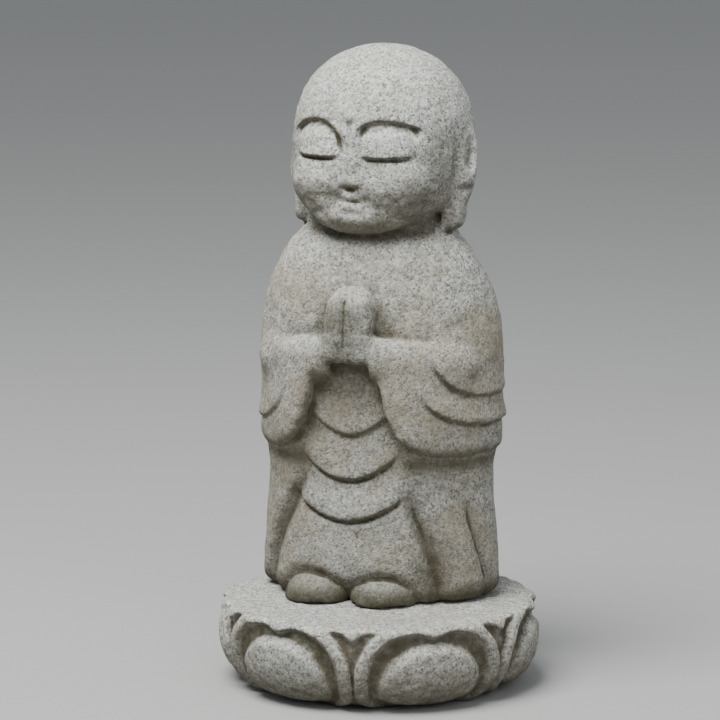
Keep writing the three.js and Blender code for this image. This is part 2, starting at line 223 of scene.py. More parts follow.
def squared_ellipsoid(point, centre, radii, squareness):
    total = sum((np.abs(p - c) / r) ** squareness for p, c, r in zip(point, centre, radii))
    return (total ** (1 / squareness) - 1) * min(radii)


def capsule(point, start, end, radius):
    along = [b - a for a, b in zip(start, end)]
    offset = [p - a for p, a in zip(point, start)]
    length = sum(v * v for v in along)
    t = np.clip(sum(o * v for o, v in zip(offset, along)) / length, 0, 1)
    return np.sqrt(sum((o - v * t) ** 2 for o, v in zip(offset, along))) - radius


def eased(value, stops, levels, soften):
    """The profile through these stops, with its corners rounded over `soften` millimetres."""
    shifts = (-soften, -soften / 2, 0, soften / 2, soften)
    return sum(np.interp(value + s, stops, levels) for s in shifts) / len(shifts)


print("a ball of 10 mm, 2 mm outside it:", round(ellipsoid((12.0, 0.0, 0.0), (0, 0, 0), (10, 10, 10)), 3))

# %% [markdown]
# ## The block and its grid
# The field is worked out at the points of a grid that fills the block. The grid is finer over the
# face and the front, where the carving is, and coarser at the back, so that the triangles go where
# they are seen. An even grid would be simpler, but it would spend half of them on the plain back.
# Points are [side, front, level]: to the figure's left, forwards, and up from its hem.


# %% A grid whose spacing changes as it goes
def graded(start, end, spacing):
    places = [start]
    while places[-1] < end:
        places.append(places[-1] + spacing(places[-1]))
    return np.array(places, np.float32)


class Block:
    """The grid that one stone is carved in."""

    def __init__(self, sides, fronts, levels):
        self.axes = (sides, fronts, levels)
        self.point = (sides[:, None, None], fronts[None, :, None], levels[None, None, :])
        self.shape = tuple(len(axis) for axis in self.axes)


SIDES, BACK, FRONT = 96, -66, 82  # how far the figure's block reaches
MARGIN = 4  # the block runs this far past the stone's underside, and one more past its top
SIDE_STEP, FRONT_STEP, BACK_STEP, FACE_STEP, BODY_STEP = 1.66, 1.49, 2.35, 1.39, 1.76
FRONT_SPAN, FACE_SPAN = [-20, 20], [240, 262]  # where one spacing turns into the other

block = Block(
    graded(-SIDES, SIDES, lambda side: SIDE_STEP),
    graded(BACK, FRONT, lambda front: float(np.interp(front, FRONT_SPAN, [BACK_STEP, FRONT_STEP]))),
    graded(
        -MARGIN, TALLEST + MARGIN + 1,
        lambda level: float(np.interp(level, FACE_SPAN, [BODY_STEP, FACE_STEP])),
    ),
)
side, front, level = block.point
print("grid points in the figure's block:", block.shape, f"{np.prod(block.shape):,}")

# %% [markdown]
# ## The robe
# Below the sleeves the robe is an oval column that widens to its hem. Across its front the cloth
# sags in three U-shaped folds, one under another like shingles: each swells towards its lower
# edge, and then the stone steps sharply back in. Soft hollows run down from the folds' ends and
# part the front from the drape at the sides. Draped cloth could be simulated, but worn stone folds
# are simpler than real ones, and a few curves with named depths come closer to them.

# %% The robe's measurements
ROBE_LEVELS = [0, 30, 62, 95, 135, 200]
ROBE_HALF_WIDTHS = [87.5, 86, 83.5, 81, 80, 74]
ROBE_HALF_DEPTHS = [60, 58, 56, 54, 55, 50]
HEM_ROUNDING = 11
PROFILE_SOFTNESS = 14
ROBE_TOP = 200
FACING = 30  # past this far forward, the surface belongs wholly to the front

# Each fold's lowest level, how far its ends rise, its middle and its half-width. The cloth hangs
# more and more to the figure's right on its way down.
FRONT_FOLDS = [(120, 13, -3.5, 27), (87.5, 15, -5.5, 33), (58.5, 14, -7, 37.5)]
FOLD_DEPTH = 3.4
FOLD_SWELL = 30  # the height over which a fold swells
LINE_WIDTH, LINE_DEPTH = 1.5, 2.0  # the cut line under a fold

# The hollows that run down either side of the front: level, and side at that level.
RIGHT_HOLLOW = ([10, 25, 44, 59, 85, 110], [-72, -69, -62, -54, -42, -40])
LEFT_HOLLOW = ([10, 18, 43, 64, 90, 110], [57, 55, 49, 41, 37, 36])
EDGE_OFF = 2  # a sharper line runs this far off each hollow's middle
DENT_DEPTH = 3.0  # a broad dent beside the left foot
# One more runs down the figure's left side: level, and how far forward it is there.
LEFT_BACK_HOLLOW = ([5, 17, 36, 55, 80], [8, 11, 17, 21, 26])


# %% The folds across the front
def front_folds(side, level):
    """How far the front folds stand proud of the robe."""
    proud = 0
    for lowest, rise, middle, half_width in FRONT_FOLDS:
        across = (side - middle) / half_width
        above = level - lowest - rise * across**2
        swell = smooth_step(FOLD_SWELL, 3, above) * smooth_step(-0.7, 1.1, above)
        fade = smooth_step(1.3, 0.8, np.abs(across))
        line = hill(above, -1.0, LINE_WIDTH) * smooth_step(1.15, 0.95, np.abs(across))
        proud = proud + FOLD_DEPTH * swell * fade - LINE_DEPTH * line
    return proud


# %% The hollows at the sides
def hollow(place, level, line, half_width, depth, start, full):
    """A soft channel down a line of the robe, which starts at one level and is full at another."""
    return depth * hill(place, np.interp(level, *line), half_width) * smooth_step(start, full, level)


def side_hollows(side, level):
    """Each hollow has a sharper line along its edge, where the front's cloth ends."""
    return (
        hollow(side, level, RIGHT_HOLLOW, half_width=6, depth=6.0, start=104, full=72)
        + hollow(side - EDGE_OFF, level, RIGHT_HOLLOW, half_width=1.6, depth=1.6, start=100, full=80)
        + hollow(side, level, LEFT_HOLLOW, half_width=5.5, depth=5.0, start=96, full=55)
        + hollow(side + EDGE_OFF, level, LEFT_HOLLOW, half_width=1.6, depth=1.8, start=84, full=62)
        + DENT_DEPTH * hill(side, 58, 12) * hill(level, 22, 22)
    )


# %% The column of the robe
def robe_column(point):
    side, front, level = point
    rounding = HEM_ROUNDING - np.clip(level, 0, HEM_ROUNDING)
    inset = HEM_ROUNDING - np.sqrt(HEM_ROUNDING**2 - rounding**2)
    width = eased(level, ROBE_LEVELS, ROBE_HALF_WIDTHS, PROFILE_SOFTNESS) - inset
    depth = eased(level, ROBE_LEVELS, ROBE_HALF_DEPTHS, PROFILE_SOFTNESS) - inset
    return from_oval((side, front), (width, depth))


plain_robe = robe_column(block.point)
facing = smooth_step(0, FACING, front)
back_hollow = hollow(front, level, LEFT_BACK_HOLLOW, half_width=5, depth=2.8, start=90, full=50)
back_hollow += hollow(front, level, LEFT_BACK_HOLLOW, half_width=1.8, depth=1.6, start=84, full=60)
back_hollow = back_hollow * smooth_step(55, 70, side)
robe = plain_robe + back_hollow + facing * (side_hollows(side, level) - front_folds(side, level))
print("robe field from", float(robe.min()), "to", float(robe.max()))

# %% [markdown]
# ## The back of the robe
# The hidden side of such a figure is left plain, with only the hang of the cloth suggested: a few
# long shallow channels that spread apart towards the hem. Deeper pleats would be easy to add, but
# nothing on the front asks for them.

# %% The long channels down the back
BACK_CHANNELS = [(-46, 7), (-16, 8), (18, 8), (48, 7)]
BACK_DEPTH, BACK_SPREAD, BACK_TOP = 1.6, 0.18, 150

behind = smooth_step(-10, -35, front)
for middle, half_width in BACK_CHANNELS:
    spread = middle * (1 + BACK_SPREAD * smooth_step(BACK_TOP, 10, level))
    channel = hill(side, spread, half_width) * smooth_step(BACK_TOP, 60, level)
    robe += behind * BACK_DEPTH * channel
print("back channels:", len(BACK_CHANNELS))

# %% [markdown]
# ## Torso, shoulders and neck
# The shoulders are one smooth dome, with no collar and no edge of cloth. It leans forward a
# little over the hands, and runs up into a neck that the head almost hides. Two shoulders and a
# chest could be blended together, but one squared oval gives the same unbroken dome.

# %% The torso
TORSO = {"centre": (0, -2, 168), "radii": (88, 57, 111), "squareness": 2.2}
TORSO_LEAN = 7
NECK = {"centre": (0, -8, 262), "radii": (38, 38, 40)}
TOP_BLEND, TORSO_BLEND, NECK_BLEND = 20, 14, 24
UNDER_CHIN_LEVEL, UNDER_CHIN_DEPTH = 261, 3.2

cloth = common(robe, level - ROBE_TOP, TOP_BLEND)
leaning = front - TORSO_LEAN * smooth_step(180, 260, level)
body = joined(cloth, squared_ellipsoid((side, leaning, level), **TORSO), TORSO_BLEND)
body = joined(body, ellipsoid(block.point, **NECK), NECK_BLEND)
under_chin = hill(level, UNDER_CHIN_LEVEL, 6) * smooth_step(5, 30, front)
body = body + UNDER_CHIN_DEPTH * under_chin * smooth_step(58, 38, np.abs(side))
print("torso top at level", TORSO["centre"][2] + TORSO["radii"][2])

# %% [markdown]
# ## Sleeves
# Each wide sleeve hangs from the forearm in front and thins out round the side. Its hem is a
# squared arc about the elbow, and folds follow rounder arcs inside it: two on the figure's left
# sleeve, and one on its right. The same function shapes both, with the left-right sign turned over.
# A mirrored copy would be shorter still, but the two were never quite alike.

# %% The sleeves' measurements
SLEEVE_SIDE, SLEEVE_TOP, SLEEVE_DROP, SLEEVE_SQUARENESS = 88, 187, 82, 3.2
SLEEVE_WIDTHS = {1: 67, -1: 60}  # the figure's left sleeve, and its right one
CUFF_THICK, SIDE_THICK = 19, 7.5
CUFF_FROM = 15  # the cuffs end against the hands
FOLD_LINE = 0.4  # how deep the line under a sleeve's fold is cut, as a share of the fold
SLEEVE_FOLDS = {1: [(0.49, 3.4), (0.73, 3.4)], -1: [(0.78, 2.2)]}  # each fold's arc and depth
ELBOW, WRIST, ARM_RADIUS = (64, 26, 170), (16, 56, 174), 17


# %% One sleeve, with the forearm inside it
def sleeve(point, robe_here, hand):
    side, front, level = point
    side = side * hand
    wrap = np.where(front > 0, side, 2 * SLEEVE_SIDE - side)
    across = np.maximum(0, (SLEEVE_SIDE - wrap) / SLEEVE_WIDTHS[hand])
    down = np.maximum(0, (SLEEVE_TOP - level) / SLEEVE_DROP)
    arc = (across**SLEEVE_SQUARENESS + down**SLEEVE_SQUARENESS) ** (1 / SLEEVE_SQUARENESS)
    folds = 0
    for edge, depth in SLEEVE_FOLDS[hand]:
        inside = edge - np.sqrt(across**2 + down**2)
        swell = smooth_step(0.22, 0.03, inside) * smooth_step(-0.012, 0.012, inside)
        line = hill(inside, -0.014, 0.022)
        shown = smooth_step(44, 62, wrap) * smooth_step(0.04, 0.25, down)
        folds = folds + depth * (swell - FOLD_LINE * line) * shown
    thickness = CUFF_THICK + (SIDE_THICK - CUFF_THICK) * smooth_step(35, 85, wrap)
    thickness = thickness * smooth_step(148, 98, wrap)
    hung = common(robe_here - thickness - folds, level - SLEEVE_TOP, 14)
    hung = common(hung, (arc - 1) * SLEEVE_WIDTHS[hand], 7)
    arm = capsule((side, front, level), ELBOW, WRIST, ARM_RADIUS)
    return common(joined(hung, arm, 8), CUFF_FROM - side, 4)


sleeves = np.minimum(sleeve(block.point, plain_robe, 1), sleeve(block.point, plain_robe, -1))
print("sleeves reach forward to", WRIST[1] + ARM_RADIUS, "mm")

# %% [markdown]
# ## Joined hands
# The hands are hardly more than a worn block with a groove down its middle, where the palms
# meet. They stand clear of the chest above the sleeves, and the stone is cut well back under them.
# Ten fingers would be truer to life, but not to a stone as worn as this.

# %% The hands
HANDS_HALF, HANDS_TOP, HANDS_BOTTOM, HANDS_FRONT = 20.5, 224, 171.5, 76
HANDS_TAPER, HANDS_LEAN = 5, 6  # how much narrower and shallower they are at the fingertips
HANDS_ASIDE, PALMS_MEET = -1.5, -3  # a little to the figure's right
PALM_GROOVE_DEPTH, WRIST_LINE_DEPTH = 3.2, 0.8

rise = np.clip((level - HANDS_BOTTOM) / (HANDS_TOP - HANDS_BOTTOM), 0, 1)
flanks = np.abs(side - HANDS_ASIDE) - HANDS_HALF + HANDS_TAPER * rise
faces = np.maximum(front - HANDS_FRONT + HANDS_LEAN * rise, 30 - front)
hands = common(common(flanks, faces, 11), level - HANDS_TOP, 13)
hands = common(hands, HANDS_BOTTOM - level, 8)
palm_groove = PALM_GROOVE_DEPTH * hill(side, PALMS_MEET, 2.2) * smooth_step(48, 62, front)
palm_groove = palm_groove * smooth_step(HANDS_TOP, 212, level) * smooth_step(HANDS_BOTTOM, 182, level)
wrist_line = WRIST_LINE_DEPTH * hill(level, 194, 1.8) * smooth_step(50, 62, front)
hands = hands + palm_groove + wrist_line
print("hands from level", HANDS_BOTTOM, "to", HANDS_TOP)

# %% [markdown]
# ## Feet
# Two round toes look out from under the hem. The hem is drawn in round each of them, and a narrow
# dark cut separates stone foot from stone cloth. They could be bulges of the hem's own outline,
# but as ovals of their own they can be ringed by that cut.

# %% The feet, and the cut round each
FEET_ASIDE = -6
FOOT = {"centre": (24.5, 45, 3), "radii": (24, 25, 16)}
FOOT_CUT, FOOT_CUT_DEPTH = 0.9, 3
BETWEEN_DEPTH, TUCKED_DEPTH = 5.0, 3.0  # between the feet, and where the hem is drawn in round them

either = np.abs(side - FEET_ASIDE)
feet = ellipsoid((either, front, level), **FOOT)
cut = np.minimum(FOOT_CUT - feet, body + FOOT_CUT_DEPTH)
between = BETWEEN_DEPTH * hill(side, FEET_ASIDE, 7) * hill(level, 4, 14) * facing
tucked = TUCKED_DEPTH * hill(feet, 0, 5) * facing * smooth_step(40, 20, level)
body = np.maximum(body + tucked + between, cut)
print("toes reach forward to", FOOT["centre"][1] + FOOT["radii"][1], "mm")

# %% [markdown]
# ## The head
# A shaven head is almost a ball, a little squared. The face is the plain icon that every such
# garden figure shares: the forehead stands over two arched brow lines, round lids are closed
# below them, and the nose and mouth are small. It is cut shallowly into the ball's front, so it
# is added as relief, measured from the middle of the face. Modelling every feature as a body of
# its own would make a deeper, livelier face than a worn stone has.

# %% The skull, and measurements from the middle of the face
SKULL = {"centre": (2, 0, 324), "radii": (63, 62, 64), "squareness": 2.15}
JOWLS = {"centre": (0, 4, 297), "radii": (57, 54, 36), "squareness": 2.6}
JOWL_BLEND = 10
FACE_ASIDE = -1.5
BROW_LEVEL = 339.5
# Each brow's middle, then its run and drop to its inner end, and to its outer end.
BROWS = {1: (22.5, 17, 6, 25, 6.5), -1: (26.5, 21, 14, 21, 9)}
EYE_LEVEL, EYE_SAG, EYE_MIDDLE, EYE_HALF = 315.4, 1.5, 25.5, 19
BROW_DEPTH, LID_SWELL, EYE_LINE_DEPTH, NOSE_SIDE_DEPTH = 3.9, 3.0, 1.8, 1.3

in_face = smooth_step(14, 36, front)
x = side - FACE_ASIDE
eye_x = np.abs(x)
skull = squared_ellipsoid(block.point, **SKULL)
skull = joined(skull, squared_ellipsoid(block.point, **JOWLS), JOWL_BLEND)


# %% Brow, lid and eye line
def brow(eye_x, hand):
    """One brow's level at each place, and how far along it is: 0 at its middle, 1 at either end."""
    middle, run_in, drop_in, run_out, drop_out = BROWS[hand]
    inner = np.maximum(middle - eye_x, 0) / run_in
    outer = np.maximum(eye_x - middle, 0) / run_out
    return BROW_LEVEL - drop_in * inner**2.4 - drop_out * outer**2, inner + outer


left_brow, right_brow = brow(eye_x, 1), brow(eye_x, -1)
brow_level, brow_reach = (np.where(x > 0, left, right) for left, right in zip(left_brow, right_brow))
under_brow = brow_level - level
brow_shown = smooth_step(1.12, 0.75, brow_reach)
brow_cut = BROW_DEPTH * smooth_step(-1.5, 1.5, under_brow) * smooth_step(12, 2, under_brow) * brow_shown

eye_reach = (eye_x - EYE_MIDDLE) / EYE_HALF
above_line = level - EYE_LEVEL + EYE_SAG * (1 - eye_reach**4)
eye_shown = smooth_step(1.0, 0.6, np.abs(eye_reach))
lid_shape = smooth_step(-0.5, 1.5, above_line) * smooth_step(26, 2, above_line)
lid = LID_SWELL * lid_shape * smooth_step(1.15, 0.35, np.abs(eye_reach))
under_lid = EYE_LINE_DEPTH * hill(above_line, -0.9, 1.2) * eye_shown
by_the_nose = NOSE_SIDE_DEPTH * hill(eye_x, 8, 3) * smooth_step(-2, 5, above_line)
by_the_nose = by_the_nose * smooth_step(-1, 4, under_brow)
print("brows arch at level", BROW_LEVEL, "and the eyes close at", EYE_LEVEL - EYE_SAG)

# %% Nose, mouth, cheeks and the mark between the brows
NOSE = {"start": (0.5, 53, 331), "end": (0.5, 57.8, 299.5), "radius": 4.8}
NOSE_WING = {"centre": (2.6, 57.6, 298), "radii": (3.4, 6.2, 4.0)}
NOSE_UNDERSIDE = 294.6
UPPER_LIP = {"centre": (0, 52.0, 286.8), "radii": (7.0, 8, 3.4)}
LOWER_LIP = {"centre": (0, 51.4, 280.4), "radii": (6.0, 7.6, 3.0)}
MOUTH_LEVEL, MOUTH_CURL = 283.4, 0.014
CHIN = {"centre": (0, 44, 271.5), "radii": (26, 12, 9)}
CHEEK = {"centre": (25, 43.5, 296), "radii": (20, 17, 15)}
URNA = {"centre": (-0.5, 59, 341.5), "radii": (4.2, 4.4, 4.2)}
URNA_LEVEL, URNA_RING = URNA["centre"][2], 5.4
CHIN_BLEND, CHEEK_BLEND, NOSE_BLEND, SMALL_BLEND = 18, 12, 5, 3

face_point, mirrored_point = (x, front, level), (eye_x, front, level)
nose = joined(capsule(face_point, **NOSE), ellipsoid(mirrored_point, **NOSE_WING), SMALL_BLEND)
nose = np.maximum(nose, NOSE_UNDERSIDE - level)
under_nose = 1.8 * hill(level, 293.0, 1.8) * hill(x, 0, 6)
mouth_line = 1.1 * hill(level - MOUTH_CURL * x**2, MOUTH_LEVEL, 1.0) * smooth_step(9.5, 6, eye_x)
mouth_corners = 0.6 * hill(eye_x, 10.5, 2.5) * hill(level, 285, 3)
under_lip = 0.8 * hill(x, 0, 8) * hill(level, 275.5, 2.4)
urna_ring = 0.35 * hill(np.sqrt(x**2 + (level - URNA_LEVEL) ** 2), URNA_RING, 1.2)

head = joined(skull, ellipsoid(face_point, **CHIN), CHIN_BLEND)
head = joined(head, ellipsoid(mirrored_point, **CHEEK), CHEEK_BLEND)
head = head + in_face * (brow_cut + under_lid + by_the_nose - lid)
head = joined(head + in_face * (urna_ring + under_nose), nose, NOSE_BLEND)
for lip in (UPPER_LIP, LOWER_LIP):
    head = joined(head, ellipsoid(face_point, **lip), SMALL_BLEND)
head = head + in_face * (mouth_line + mouth_corners + under_lip)
head = joined(head, ellipsoid(face_point, **URNA), 1)
print("the nose stands", round(NOSE["end"][1] + NOSE["radius"], 1), "mm forward")

# %% [markdown]
# ## Ears
# Long ears with heavy square lobes are the mark of the holy figures. Each is an upright oval shell
# with a hollowed bowl, leaning back at the top, and a lobe that hangs clear of the jaw. A real
# ear's winding ridges could be laid as curves, but hammered granite keeps only these few forms.

# %% The ears
EAR = {"centre": (58.8, 1, 307), "radii": (10, 14.5, 27.5)}
EAR_BOWL = {"centre": (68, 6.5, 316), "radii": (7, 7.5, 14)}
LOBE = {"centre": (54, 7, 274.5), "radii": (8.5, 9.5, 13.5), "squareness": 3.6}
HEAD_ASIDE = 2
EAR_LEAN, EAR_MIDDLE = 0.15, 306
NOTCH_DEPTH, CREASE_DEPTH, JAW_CUT_DEPTH = 2.0, 2.0, 1.2

ear_side = np.abs(side - HEAD_ASIDE)
ear_point = (ear_side, front + (level - EAR_MIDDLE) * EAR_LEAN, level)
ears = common(ellipsoid(ear_point, **EAR), -ellipsoid(ear_point, **EAR_BOWL), 2.5)
ears = ears + NOTCH_DEPTH * hill(level, 289, 2.5) * hill(front, 10, 7)
ears = joined(ears, squared_ellipsoid((ear_side, front, level), **LOBE), 6)
ear_crease = CREASE_DEPTH * hill(front, 19, 3.5) * hill(level, 310, 20) * smooth_step(45, 55, ear_side)
jaw_cut = JAW_CUT_DEPTH * hill(ear_side, 45, 2.5) * hill(level, 274, 12) * hill(front, 14, 16)
head = head + jaw_cut + ear_crease
print("ears reach out to", EAR["centre"][0] + EAR["radii"][0], "mm")

# %% [markdown]
# ## One stone
# The forms are joined with small soft corners, because a hammer can't reach into a sharp one. A
# plain union would be a shorter line, but its creases would look like assembled parts. The
# underside is cut flat, where the figure stands on its plinth.

# %% Join the figure
CREASE, HANDS_CREASE, FEET_CREASE, UNDERSIDE_EDGE = 2.5, 4, 0.8, 2

figure = joined(body, sleeves, CREASE)
figure = joined(figure, hands, HANDS_CREASE)
figure = joined(figure, feet, FEET_CREASE)
figure = joined(figure, joined(head, ears, CREASE), CREASE)
figure = common(figure, -level, UNDERSIDE_EDGE)
print("stone fills", f"{float((figure < 0).mean()):.0%}", "of its grid")

# %% [markdown]
# ## Years in the garden
# Weather takes the edges first, and dirt and painted shade darken the hollows. Both need to know
# how sheltered each place is. The share of stone around a point says it: on a flat face half of a
# small ball is stone, on an edge less, and in a groove more. Blurring the carved block gives that
# share everywhere at once. Tracing rays from every point would say it more exactly, and far more
# slowly.


# %% A soft blur of a whole block
def blurred(values, reach, passes=2):
    """The mean over 2 * reach + 1 grid points along each axis, taken twice, so it is nearly round."""
    width = 2 * reach + 1
    for axis in range(3):
        for _ in range(passes):
            padding = [(0, 0)] * 3
            padding[axis] = (reach + 1, reach)
            run = np.cumsum(np.pad(values, padding, mode="edge"), axis=axis, dtype=np.float32)
            count = values.shape[axis]
            far, near = np.take(run, range(width, width + count), axis), np.take(run, range(count), axis)
            values = (far - near) / width
    return values


def stone_share(field, reach):
    return blurred(np.clip(0.5 - field / 2, 0, 1).astype(np.float32), reach)


# %% The hammered skin: seeded noise of two sizes, in millimetres taken off
TAKEN, FINE_MARKS, BROAD_MARKS = 0.30, 0.20, 0.22
EDGE_TAKEN, EDGE_UNEVENNESS, MOST_TAKEN = 1.6, 1.2, 3
dice = np.random.default_rng(4)


def hammer_marks(shape, reach):
    marks = blurred(dice.standard_normal(shape, dtype=np.float32), reach)
    return marks / marks.std()


def weathered(field):
    """Takes a little stone off everywhere, unevenly, and more off the edges."""
    fine = hammer_marks(field.shape, 1)
    broad = hammer_marks(field.shape, 3)
    exposed = np.clip(0.5 - stone_share(field, 3), 0, 0.5)
    taken = TAKEN + FINE_MARKS * fine + BROAD_MARKS * broad
    taken = taken + exposed * (EDGE_TAKEN + EDGE_UNEVENNESS * broad)
    return field + np.clip(taken, 0, MOST_TAKEN)


before = float((figure < 0).sum())
figure = weathered(figure)
print(f"weather took {1 - float((figure < 0).sum()) / before:.1%} of the figure")

# %% [markdown]
# ## From field to mesh
# OpenVDB, the volume library that comes with Blender, walks the grid and lays a skin of quads where
# the field is zero. Its points come in grid steps, and the grid's own axes turn them into
# millimetres. Metaballs would skin round forms too, but they can't be cut, and a remesh modifier
# needs a mesh to start from. Three attributes go along for the material: how much stone there is
# close round each point, how much there is in a wider ball, and how much painted shade and dirt it
# is given.


# %% Skin a block
OUTSIDE = 5.0  # the field's value far from the stone
HOLLOW_REACH, SHELTER_REACH = 2, 7  # in grid points


def at_points(values, steps):
    """The values at points given in grid steps, read between the eight corners around each."""
    low = np.minimum(np.maximum(steps.astype(int), 0), np.array(values.shape) - 2)
    part = steps - low
    total = 0
    for corner in np.ndindex(2, 2, 2):
        share = np.prod(np.where(corner, part, 1 - part), axis=1)
        i, j, k = (low + corner).T
        total = total + share * values[i, j, k]
    return total


def skinned(name, block, field, shaded_and_dirty, place):
    grid = openvdb.FloatGrid(OUTSIDE)
    grid.copyFromArray(np.ascontiguousarray(field, np.float32))
    steps, _, quads = grid.convertToPolygons(0.0, 0.0)
    count = np.arange(max(block.shape))
    carved = [np.interp(steps[:, i], count[: block.shape[i]], block.axes[i]) for i in range(3)]
    mesh = bpy.data.meshes.new(name)
    mesh.from_pydata(place(np.stack(carved, 1)) * MM, [], quads[:, ::-1])
    mesh.shade_smooth()
    for label, values in (
        ("hollow", stone_share(field, HOLLOW_REACH)),
        ("sheltered", stone_share(field, SHELTER_REACH)),
        # painted shade and dirt laid on by the patches of each stone
        ("shaded_and_dirty", np.broadcast_to(shaded_and_dirty, block.shape)),
    ):
        attribute = mesh.attributes.new(label, "FLOAT", "POINT")
        attribute.data.foreach_set("value", at_points(values, steps).astype(np.float32))
    piece = bpy.data.objects.new(name, mesh)
    bpy.context.scene.collection.objects.link(piece)
    triangles = sum(len(p.vertices) - 2 for p in mesh.polygons)
    print(name, "has", f"{triangles:,}", "triangles")
    return piece


# %% [markdown]
# ## Where shade and dirt are painted
# Rain washes what it reaches, and dirt stays where stone shields stone, which is also where shade
# falls; the colour paints both. The blurred share finds every narrow groove, but the broad dull
# places are wider than its reach: on and under the hands, under the sleeves, beside the feet, below
# the jaw and along the ear. Each is named here as a soft patch: painted shade in the hollows, under
# the hands and sleeves, round the feet, below the jaw and chin and along the ear, dirt on the hands,
# and a plain darkening beside the feet. A blur as wide as a hand would find some of them, but it
# would darken far more as well.

# %% The figure's broad dull places
DEEPEST_HOLLOW = 5.5

# painted shade in the robe's hollows
hollows_shade = np.maximum(facing * side_hollows(side, level), back_hollow) / DEEPEST_HOLLOW
# painted shade under the hands
under_hands_shade = hill(side, -3, 26) * hill(level, 152, 20) * facing
# dirt on the fronts of the hands
on_hands = hill(side, -2, 22) * smooth_step(168, 176, level) * smooth_step(222, 205, level)
on_hands = on_hands * smooth_step(50, 62, front)
# painted shadow under the sleeves' hems
under_sleeves_shadow = hill(level, 100, 6) * smooth_step(24, 40, np.abs(side))
# darker low on the robe beside the figure's left foot
beside_feet = hill(side, 52, 16) * hill(level, 18, 24) * facing
# painted shade round the feet
round_feet_shade = hill(feet, 0, 8) * smooth_step(40, 20, level) * facing
# painted shade below the jaw and chin, and along the ear
below_jaw_shade = hill(level, 281, 17) * hill(np.abs(side), 43, 15) * smooth_step(-10, 20, front)
below_chin_shade = hill(level, 264, 7) * smooth_step(10, 40, front)
by_the_ear_shade = hill(ear_side, 54, 9) * smooth_step(-6, 12, front)
by_the_ear_shade = by_the_ear_shade * smooth_step(345, 318, level) * smooth_step(258, 268, level)

dull_places = [
    (0.70, hollows_shade), (0.55, under_hands_shade), (0.75, on_hands), (0.85, under_sleeves_shadow),
    (0.80, beside_feet), (0.80, round_feet_shade), (0.85, below_jaw_shade), (0.50, below_chin_shade), (0.50, by_the_ear_shade),
]
# painted shade and dirt from all the places, the strongest kept
shaded_and_dirty_figure = np.maximum.reduce(np.broadcast_arrays(*(share * place for share, place in dull_places)))
print("dull places:", len(dull_places))


# %% Skin the figure, and set it on the plinth
def on_plinth(carved):
    side, front, level = carved.T
    return np.stack([side + FIGURE_ASIDE, FIGURE_BACK - front, level + PLINTH_TOP], 1)


carved_figure = skinned("carved_figure", block, figure, shaded_and_dirty_figure, on_plinth)

# %% [markdown]
# ## The lotus plinth
# The plinth is a low bowl with six broad petals carved round it. Inside each petal's rim a groove
# runs round a raised cushion, with a small point at the petal's tip. Between two petals shows
# the tip of a third, which stands behind them. One petal could be carved and copied round, but
# the bowl is a field of its radius, so all six are simply millimetres taken off that radius.

# %% The bowl's outline, a curve through four handles
BOWL = [(88, 0), (104, 3), (117.2, 24), (112.3, 53)]

t = np.linspace(0, 1, 60)[:, None]
weights = np.concatenate([(1 - t) ** 3, 3 * t * (1 - t) ** 2, 3 * t**2 * (1 - t), t**3], axis=1)
bowl_radii, bowl_levels = (weights @ np.array(BOWL)).T
print("widest at", round(float(bowl_radii.max()), 1), "mm")

# %% The plinth's grid, turned as the stone was set
PETALS = 6
PETAL_HALF = math.pi / PETALS
PETAL_TURN = math.radians(10)
BOWL_REACH, ROUND_STEP, UPRIGHT_STEP = 117, 1.4, 1.15

low_block = Block(
    graded(-BOWL_REACH, BOWL_REACH, lambda side: ROUND_STEP),
    graded(-BOWL_REACH, BOWL_REACH, lambda front: ROUND_STEP),
    graded(-MARGIN, PLINTH_TOP + MARGIN + 1, lambda level: UPRIGHT_STEP),
)
px, py, height = low_block.point
radius = np.sqrt(px**2 + py**2)
around = np.arctan2(px, -py) - PETAL_TURN
print("grid points in the plinth's block:", low_block.shape)

# %% Nests of arches: 1 on the arch itself, and less inside it
ARCH_FOOT = 14  # the level where every arch is widest


def arch(off_middle, height, reach, tip, root, squareness):
    """An arch over a petal's middle, with half-angle `reach` and its top and bottom at these levels."""
    across = np.abs(off_middle) / math.radians(reach)
    up = np.maximum(height - ARCH_FOOT, 0) / (tip - ARCH_FOOT)
    down = np.maximum(ARCH_FOOT - height, 0) / (ARCH_FOOT - root)
    return (across**squareness + (up + down) ** squareness) ** (1 / squareness)


off_middle = (np.mod(around / PETAL_HALF, 2) - 1) * PETAL_HALF
BOWL_WIDEST = float(bowl_radii.max())
middle_mm, parting_mm = off_middle * BOWL_WIDEST, (PETAL_HALF - np.abs(off_middle)) * BOWL_WIDEST
petal = arch(off_middle, height, 29.6, 68, -6, 2.35)
inside_rim = arch(off_middle, height, 26.3, 60, -3, 2.7)
cushion = arch(off_middle, height, 21.5, 49, 2, 2.2)
print("petals:", PETALS)

# %% The carving of the petals, in millimetres off the bowl
GROOVE_DEPTH, RECESS_DEPTH, PARTING_DEPTH = 6.0, 6.0, 2.2
CUSHION_CROWN, BACK_PETAL_CROWN = 1.8, 2.4  # how far these swell back out
TIP_POINT = 0.10  # how far the point at a petal's tip reaches in, as a share of its arch
RECESS_TOP, RECESS_POINT = 59, 7  # where the recess ends, and how far its own point hangs down

